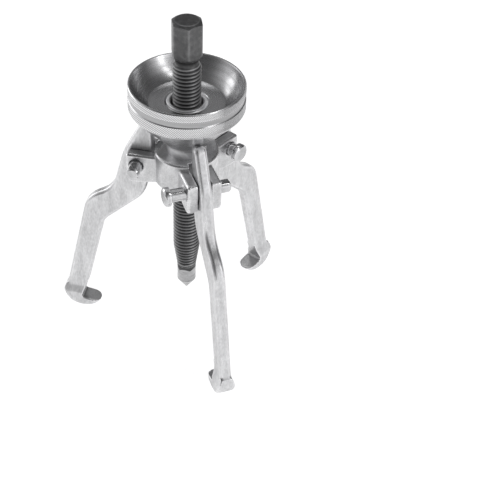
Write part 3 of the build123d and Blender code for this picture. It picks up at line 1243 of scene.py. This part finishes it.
@dataclass
class AdjustingCone:
    """Knurled cup over a conical flank, in millimetres. A pair is a radius and a height.

    Args:
        diamonds: Knurl diamonds round the rim.
        knurl_depth: How far the knurl stands out.
        knurl_foot: Height of the lower knurled band's foot.
        knurl_gap: Plain edge between a knurled band and the groove.
        knurl_top: Plain edge between the upper band and the rim's top.
        rim: Radius over the knurl.
        rim_foot: Height of the rim's foot.
        rim_chamfer: How far the rim's top edge is cut back, from the side and from the top.
        lip: Radius of the cup's lip.
        floor_height: Height of the cup's floor.
        floor_radius: Radius of the cup's floor.
        wall_radius: Radius of the cup wall's hollow curve.
        wall_steps: Runs in that curve.
        bore: Radius of the bore over the barrel.
        bore_chamfer: Chamfer of the bore at the cup's floor.
        foot_chamfer: Chamfer of the bore at its lower end.
        bore_run: Length of the runs at both ends of the bore.
        end_radius: Radius of the lower end.
        shoulder: Where the flank meets the rim's underside.
        groove: Heights between which the rim's groove lies.
        groove_radius: Radius of the groove's floor.
        groove_round: Rounding of the groove's corners.
        groove_edge: Height of its upper chamfer.
        spacing: Longest run of the flank and the floor.
        node: Its node in the frame.
    """

    diamonds: int = 168
    knurl_depth: float = 0.34
    knurl_foot: float = 157.0
    knurl_gap: float = 0.35
    knurl_top: float = 0.65
    rim: float = 32.6
    rim_foot: float = 156.75
    rim_chamfer: tuple[float, float] = (0.6, 0.5)
    lip: float = 31.2
    floor_height: float = 159.4
    floor_radius: float = 21.5
    wall_radius: float = 26.0
    wall_steps: int = 16
    bore: float = 11.96
    bore_chamfer: float = 0.5
    foot_chamfer: tuple[float, float] = (0.4, 0.9)
    bore_run: float = 8.0
    end_radius: float = 12.9
    shoulder: tuple[float, float] = (32.0, 156.0)
    groove: tuple[float, float] = (163.0, 166.4)
    groove_radius: float = 31.9
    groove_round: float = 0.15
    groove_edge: float = 0.2
    spacing: float = 1.6
    node: str = "adjusting_cone"

    def cup_wall(self, top: float) -> Profile:
        """Concave wall from the lip down to the floor.

        Args:
            top: Height of the lip.

        Returns:
            Points of radius and height.
        """
        start, end = Vector((self.lip, top)), Vector((self.floor_radius, self.floor_height))
        middle, half = (start + end) / 2, (start - end).length / 2
        away = Vector((-(end - start).y, (end - start).x)).normalized()
        if away.x > 0:
            away.negate()
        centre = middle + away * math.sqrt(self.wall_radius ** 2 - half ** 2)
        first, last = start - centre, end - centre
        turn = first.angle_signed(last)
        points = []
        for step in range(1, self.wall_steps):
            arm = first.copy()
            arm.rotate(Matrix.Rotation(-turn * step / self.wall_steps, 2))
            points.append(tuple(centre + arm))
        return points

    def profile(self, bottom: float, top: float) -> tuple[Profile, list[int]]:
        """Closed path round the section, and which of its points lie in a knurled band.

        Args:
            bottom: Height of the lower end.
            top: Height of the rim.

        Returns:
            The path, and each point's knurl row, or 0 outside the bands.
        """
        base = self.rim - self.knurl_depth
        groove_low, groove_high = self.groove
        under = rounded([
            (self.bore, bottom + self.foot_chamfer[1], 0.0),
            (self.bore + self.foot_chamfer[0], bottom, 0.1), (self.end_radius, bottom, 0.35),
            (*self.shoulder, 0.25), (base, self.rim_foot, 0.0)])
        path = spaced(under, self.spacing)
        marks = [0] * len(path)
        step = math.pi * self.rim / self.diamonds
        for low, high in ((self.knurl_foot, groove_low - self.knurl_gap),
                          (groove_high + self.knurl_gap, top - self.knurl_top)):
            rows = round((high - low) / step)
            for row in range(rows + 1):
                path.append((base, low + (high - low) * row / rows))
                marks.append(row + 1)
            if high < groove_high:
                ease = self.groove_round
                between = rounded([
                    (base, high + ease, 0.0), (self.groove_radius, groove_low + ease, ease),
                    (self.groove_radius, groove_high - ease, ease),
                    (base, groove_high + self.groove_edge, 0.0)], 3)
                path += between
                marks += [0] * len(between)
        wall = self.cup_wall(top)
        over = rounded([(base, top - self.rim_chamfer[1], 0.0),
                        (self.rim - self.rim_chamfer[0], top, 0.15), (self.lip, top, 0.25),
                        (*wall[0], 0.0)])
        inside = rounded([
            (*wall[-1], 0.0), (self.floor_radius, self.floor_height, 0.5),
            (self.bore + self.bore_chamfer, self.floor_height, 0.2),
            (self.bore, self.floor_height - self.bore_chamfer, 0.0)])
        tail = over + wall[1:] + spaced(inside[1:], self.spacing) + [
            (self.bore, self.floor_height - self.bore_run), (self.bore, bottom + self.bore_run)]
        return path + tail, marks + [0] * len(tail)

    def build(self, tree: bpy.types.NodeTree, material: bpy.types.Material) -> None:
        """Build the cone.

        Args:
            tree: The knurl tree.
            material: Its finish.
        """
        low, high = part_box(self.node)
        path, marks = self.profile(low.z / MM, high.z / MM)
        columns = 2 * self.diamonds
        body = lathe(self.node, path, columns, ring=True)
        knurl = body.attributes.new("knurl", "FLOAT", "POINT")
        values = np.zeros((len(path), columns), np.float32)
        for row, mark in enumerate(marks):
            if mark:
                values[row, mark % 2::2] = 1.0
        knurl.data.foreach_set("value", values.ravel())
        body = grown_mesh(self.node, body, tree, {"Depth": self.knurl_depth * MM})
        mesh = joined(self.node, [body])
        mark_edges(mesh, scale=0.00009, passes=3)
        piece("adjusting_cone_body", mesh, material, self.node, [self.node], Slot.TURNED,
              sharp=30.0)


@dataclass
class Yoke:
    """Casting with three clevises, and the threaded barrel on it, in millimetres.

    Args:
        hub_top: Height of the hub's top face.
        barrel: Radius of the barrel's thread.
        relief: Radius of the plain stretch under the thread.
        relief_top: Height where the thread begins.
        bore: Radius of the barrel's bore.
        mouth: Radius of the bore's mouth.
        bore_floor: Height of the bore's floor.
        screw_bore: Radius of the bore round the forcing screw.
        pitch: Rise of the barrel's thread in a turn.
        thread_depth: Depth of its groove.
        crest_chamfer: How far the thread's last crest is cut back at the top.
        relief_taper: Length over which the thread grows out of the relief.
        mouth_depth: Depth of the bore's mouth.
        floor_depth: Depth of the chamfer round the bore's floor.
        sunk: How far the barrel's foot is sunk in the hub.
        cut_over: How far over the hub's top the casting is cut off.
        spacing: Longest run of the barrel's outline.
        voxel: Size of the skin's faces.
        rounds: Rounds of softening.
        node: Its node in the frame.
    """

    hub_top: float = 127.8
    barrel: float = 11.9
    relief: float = 11.3
    relief_top: float = 133.5
    bore: float = 9.0
    mouth: float = 9.8
    bore_floor: float = 140.0
    screw_bore: float = 8.0
    pitch: float = 25.4 / 16
    thread_depth: float = 0.85
    crest_chamfer: float = 1.0
    relief_taper: float = 0.6
    mouth_depth: float = 0.8
    floor_depth: float = 1.0
    sunk: float = 0.8
    cut_over: float = 0.05
    spacing: float = 2.5
    voxel: float = 0.42
    rounds: int = 5
    node: str = "yoke"

    def casting(self) -> bpy.types.Mesh:
        """Hub and clevises, without the barrel.

        Returns:
            The mesh.
        """
        work = copied_node(self.node)
        cut = bmesh.ops.bisect_plane(
            work, geom=[*work.verts, *work.edges, *work.faces],
            plane_co=(0, 0, (self.hub_top + self.cut_over) * MM), plane_no=(0, 0, 1),
            clear_outer=True)
        rim = [item for item in cut["geom_cut"] if isinstance(item, bmesh.types.BMEdge)]
        bmesh.ops.triangle_fill(work, use_beauty=True, edges=rim, normal=(0, 0, 1))
        return cast_mesh("casting", work, self.voxel * MM, self.rounds)

    def tube(self, top: float) -> Profile:
        """Path from the thread's upper end over the mouth, down the bore and up to its foot.

        Args:
            top: Height of the barrel's top.

        Returns:
            The path.
        """
        foot = self.hub_top - self.sunk
        return rounded([
            (self.barrel - self.crest_chamfer, top, 0.0), (self.mouth, top, 0.15),
            (self.bore, top - self.mouth_depth, 0.1), (self.bore, self.bore_floor, 0.1),
            (self.screw_bore, self.bore_floor - self.floor_depth, 0.1),
            (self.screw_bore, foot, 0.0), (self.relief, foot, 0.0),
            (self.relief, self.relief_top, 0.0)])

    def build(self, tree: bpy.types.NodeTree, casting: bpy.types.Material,
              turned: bpy.types.Material) -> None:
        """Build the casting and the barrel.

        Args:
            tree: The thread tree.
            casting: Finish of the casting.
            turned: Finish of the barrel, near white as painted light where the cone shades the
                barrel.
        """
        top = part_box(self.node)[1].z / MM
        mesh = self.casting()
        mark_edges(mesh, scale=0.00022, passes=5)
        piece("yoke_casting", mesh, casting, self.node, [self.node], Slot.CASTING, sharp=60.0)
        crest = self.barrel - self.crest_chamfer
        thread = Thread(self.barrel, self.pitch, self.thread_depth, self.relief_top, top,
                        self.relief, self.relief_taper, crest, self.crest_chamfer, samples=6)
        tube = lathe("tube", spaced(self.tube(top), self.spacing), thread.columns)
        barrel = joined("barrel", [thread.mesh(tree), tube], 0.00002)
        mark_edges(barrel, scale=0.00016, passes=3)
        piece("yoke_barrel", barrel, turned, self.node, [], Slot.CASTING, sharp=38.0)


@dataclass
class Jaw:
    """One hooked jaw, in millimetres.

    Args:
        side: Which jaw.
        voxel: Size of the skin's faces.
        rounds: Rounds of softening.
    """

    side: Side
    voxel: float = 0.42
    rounds: int = 14

    def build(self, material: bpy.types.Material) -> None:
        """Build the jaw.

        Args:
            material: Its finish.
        """
        node = f"jaw_{self.side.word}"
        mesh = cast_mesh(node, copied_node(node), self.voxel * MM, self.rounds)
        mark_edges(mesh, scale=0.00022, passes=5)
        piece(f"{node}_body", mesh, material, node, [node], Slot.FORGING, sharp=60.0)


@dataclass
class ClevisPin:
    """Headed pin through a clevis, in millimetres.

    Args:
        side: Whose pin.
        radius: Radius of the shank.
        head: Radius of the head.
        head_length: Length of the head.
        length: Length over all.
        ear_face: Distance from the jaw's middle to where the head stops at the ear.
        axis_radius: Distance of the pin's line from the screw's axis.
        axis_height: Height of the pin's line.
        crown: How far the head's middle is set in from its edge.
        head_edge: How far the head's rounded edge is cut back, from the side and from the face.
        tail_edge: The same at the tail.
        spacing: Longest run of its outline.
        columns: Points round it.
    """

    side: Side
    radius: float = 3.75
    head: float = 5.5
    head_length: float = 3.7
    length: float = 38.8
    ear_face: float = 10.1
    axis_radius: float = 27.4
    axis_height: float = 117.8
    crown: float = 0.05
    head_edge: tuple[float, float] = (1.2, 0.9)
    tail_edge: tuple[float, float] = (0.8, 0.9)
    spacing: float = 1.2
    columns: int = 72

    def head_outer(self) -> float:
        """Place of the head's outer face along the pin. At the slide's end the head meets the ear.

        Returns:
            The place.
        """
        joints = frame["record"]["behaviour"]["joints"]
        slide = next(joint for joint in joints if joint["child"] == f"pin_{self.side.word}")
        return -self.ear_face - self.head_length - slide["range_m"][1] / MM

    def build(self, material: bpy.types.Material) -> None:
        """Build the pin.

        Args:
            material: Its finish.
        """
        node = f"pin_{self.side.word}"
        path = rounded([
            (0.0, self.crown, 0.0), (self.head - self.head_edge[0], 0.0, 0.8),
            (self.head, self.head_edge[1], 0.7), (self.head, self.head_length, 0.25),
            (self.radius, self.head_length, 0.15),
            (self.radius, self.length - self.tail_edge[1], 0.3),
            (self.radius - self.tail_edge[0], self.length, 0.2), (0.0, self.length, 0.0)])
        mesh = joined(node, [lathe(node, spaced(path, self.spacing), self.columns)])
        place = (Matrix.Rotation(math.radians(self.side.value), 4, "Z")
                 @ Matrix.Translation((self.axis_radius * MM, self.head_outer() * MM,
                                       self.axis_height * MM))
                 @ Matrix.Rotation(math.radians(-90), 4, "X"))
        mesh.transform(place)
        mark_edges(mesh, scale=0.00014, passes=3)
        piece(f"{node}_body", mesh, material, node, [node], Slot.PIN)


@dataclass(frozen=True)
class Patch:
    """Soft bright patch of the surroundings.

    Args:
        azimuth: Its direction round the screw's axis, in degrees from +X.
        rise: Its height over the horizon, in degrees.
        focus: How narrow it is.
        level: How bright it is.
    """

    azimuth: float
    rise: float
    focus: float
    level: float

    def direction(self) -> Vector:
        """Unit vector towards the patch.

        Returns:
            The vector.
        """
        azimuth, rise = math.radians(self.azimuth), math.radians(self.rise)
        return Vector((math.cos(rise) * math.cos(azimuth), math.cos(rise) * math.sin(azimuth),
                       math.sin(rise)))


@dataclass(frozen=True)
class Lamp:
    """Soft box aimed at the puller.

    Args:
        name: Its name.
        place: Where it stands.
        size: Its width and height.
        power: Its power in watts.
    """

    name: str
    place: tuple[float, float, float]
    size: tuple[float, float]
    power: float

    def build(self, target: Vector) -> None:
        """Make the lamp.

        Args:
            target: Where it is aimed.
        """
        data = bpy.data.lights.new(self.name, "AREA")
        data.shape = "RECTANGLE"
        data.size, data.size_y = self.size
        data.energy = self.power
        lamp = bpy.data.objects.new(self.name, data)
        bpy.context.scene.collection.objects.link(lamp)
        lamp.location = self.place
        lamp.rotation_mode = "QUATERNION"
        lamp.rotation_quaternion = (target - Vector(self.place)).to_track_quat("-Z", "Y")


@dataclass
class Studio:
    """Pale floor, soft lights and the camera.

    Args:
        ahead: Level distance of the camera from the screw's axis.
        height: Height of the camera.
        swing: Its direction round the axis, in degrees clockwise from the front jaw.
        pan: Turn of the view to the right, in degrees.
        tilt: Turn of the view downwards, in degrees.
        roll: Turn of the camera about its view, in degrees.
        lens: Focal length in millimetres on a 36 mm sensor.
        surround: Level of the surroundings between the patches.
        patches: Bright patches round the puller.
        lamps: The lamps.
        target: Where they are aimed.
        floor_reach: Half of the floor's side.
        floor_tones: Darkest and brightest tone of the floor.
        floor_rough: Roughness of the floor.
        floor_glow: How strongly the floor glows, as one lit from all round does.
    """

    ahead: float = 0.588
    height: float = 0.5453
    swing: float = 17.8
    pan: float = 3.724
    tilt: float = 39.895
    roll: float = 2.498
    lens: float = 91.46
    surround: float = 0.12
    patches: tuple[Patch, ...] = (Patch(150.0, 14.0, 9.0, 0.9), Patch(-55.0, 20.0, 10.0, 0.75),
                                  Patch(-78.0, 6.0, 8.0, 0.8), Patch(70.0, 42.0, 14.0, 0.12))
    lamps: tuple[Lamp, ...] = (Lamp("left_box", (-0.57, 0.73, 0.2), (0.5, 0.9), 2.2),
                               Lamp("front_box", (0.50, -0.68, 0.75), (0.14, 1.1), 1.4),
                               Lamp("top_box", (0.1, 0.35, 1.0), (0.4, 0.4), 1.0))
    target: tuple[float, float, float] = (0.0, 0.0, 0.11)
    floor_reach: float = 20.0
    floor_tones: tuple[float, float] = (0.50, 0.52)
    floor_rough: float = 0.9
    floor_glow: float = 0.86

    def camera(self) -> None:
        """Make the camera."""
        data = bpy.data.cameras.new("camera")
        data.lens = self.lens
        data.sensor_width = 36.0
        camera = bpy.data.objects.new("camera", data)
        bpy.context.scene.collection.objects.link(camera)
        swing, pan, tilt = (math.radians(angle) for angle in (self.swing, self.pan, self.tilt))
        ahead = Vector((math.sin(pan) * math.cos(tilt), math.cos(pan) * math.cos(tilt),
                        -math.sin(tilt)))
        right = ahead.cross(Vector((0, 0, 1))).normalized()
        up = right.cross(ahead)
        turn = math.radians(self.roll)
        across = right * math.cos(turn) + up * math.sin(turn)
        above = up * math.cos(turn) - right * math.sin(turn)
        place = Matrix((across, above, -ahead)).transposed().to_4x4()
        place.translation = Vector((0.0, -self.ahead, self.height))
        camera.matrix_world = Matrix.Rotation(-swing, 4, "Z") @ place
        bpy.context.scene.camera = camera

    def floor(self) -> None:
        """Make the floor."""
        reach = self.floor_reach
        mesh = bpy.data.meshes.new("floor")
        corners = [(-reach, -reach, 0.0), (reach, -reach, 0.0), (reach, reach, 0.0),
                   (-reach, reach, 0.0)]
        mesh.from_pydata(corners, [], [(0, 1, 2, 3)])
        material = bpy.data.materials.new("pale_floor")
        material.use_nodes = True
        graph = Graph(material.node_tree)
        shader = material.node_tree.nodes["Principled BSDF"]
        coord = graph.add("ShaderNodeTexCoord").outputs["Object"]
        tones = (grey(level) for level in self.floor_tones)
        graph.set(shader.inputs["Base Color"], graph.blend(graph.noise(coord, 3.0, 2.0), *tones))
        shader.inputs["Roughness"].default_value = self.floor_rough
        shader.inputs["Specular IOR Level"].default_value = 0.1
        shader.inputs["Emission Color"].default_value = (1.0, 1.0, 1.0, 1.0)
        shader.inputs["Emission Strength"].default_value = self.floor_glow
        mesh.materials.append(material)
        floor = bpy.data.objects.new("floor", mesh)
        bpy.context.scene.collection.objects.link(floor)

    def world(self) -> None:
        """Dim surroundings with soft bright patches, as reflectors stand round a product."""
        world = bpy.data.worlds.new("studio")
        world.use_nodes = True
        bpy.context.scene.world = world
        graph = Graph(world.node_tree)
        back = world.node_tree.nodes["Background"]
        way = graph.add("ShaderNodeTexCoord").outputs["Generated"]
        level: Value = self.surround
        for patch in self.patches:
            facing = graph.add("ShaderNodeVectorMath", {0: way, 1: patch.direction()},
                               operation="DOT_PRODUCT")
            ahead = graph.math("MAXIMUM", facing.outputs["Value"], 0.0)
            glow = graph.math("POWER", ahead, patch.focus)
            level = graph.math("MULTIPLY_ADD", glow, patch.level, level)
        cool = graph.math("MULTIPLY", level, COOLNESS)
        tint = graph.add("ShaderNodeCombineColor", {0: level, 1: level, 2: cool})
        graph.set(back.inputs["Color"], tint.outputs[0])

    def build(self) -> None:
        """Build the whole stage."""
        self.camera()
        self.floor()
        self.world()
        for lamp in self.lamps:
            lamp.build(Vector(self.target))
        bpy.context.scene.view_settings.view_transform = "Standard"
        log.info("stage and camera are in place")


def plain(corners: tuple[Vector, Vector]) -> list[list[float]]:
    """Box corners as plain lists."""
    return [list(corner) for corner in corners]


def main() -> None:
    """Build every piece in order."""
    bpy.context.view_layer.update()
    effects = Effects()
    casting = SatinPlating(Slot.CASTING).material(effects)
    forging = SatinPlating(Slot.FORGING, dark=0.46, light=0.7, smooth=0.28, rough=0.45,
                           depth=0.0001, cloud_scale=190.0, stretch=0.3).material(effects)
    turned = LatheFinish(Slot.TURNED, dark=0.46, light=0.66, smooth=0.18,
                         rough=0.32).material(effects)
    # The barrel's near-white tone is painted light, standing in for light that the cone's shade
    # keeps off it.
    barrel = LatheFinish(Slot.CASTING, dark=0.9, light=1.0, smooth=0.36,
                         rough=0.5).material(effects)
    black = BlackOxide(Slot.BLACK).material(effects)
    ground = LatheFinish(Slot.GROUND, dark=0.22, light=0.46, cover=0.0405).material(effects)
    pin = SatinPlating(Slot.PIN, dark=0.4, light=0.56, smooth=0.12, rough=0.2, depth=0.00001,
                       specks=0.1).material(effects)
    threads, knurl = thread_tree(), knurl_tree()
    ForcingScrew().build(threads, black)
    ScrewPoint().build(ground)
    AdjustingCone().build(knurl, turned)
    Yoke().build(threads, casting, barrel)
    for side in Side:
        Jaw(side).build(forging)
        ClevisPin(side).build(pin)
    Studio().build()


if __name__ == "__main__":
    main()
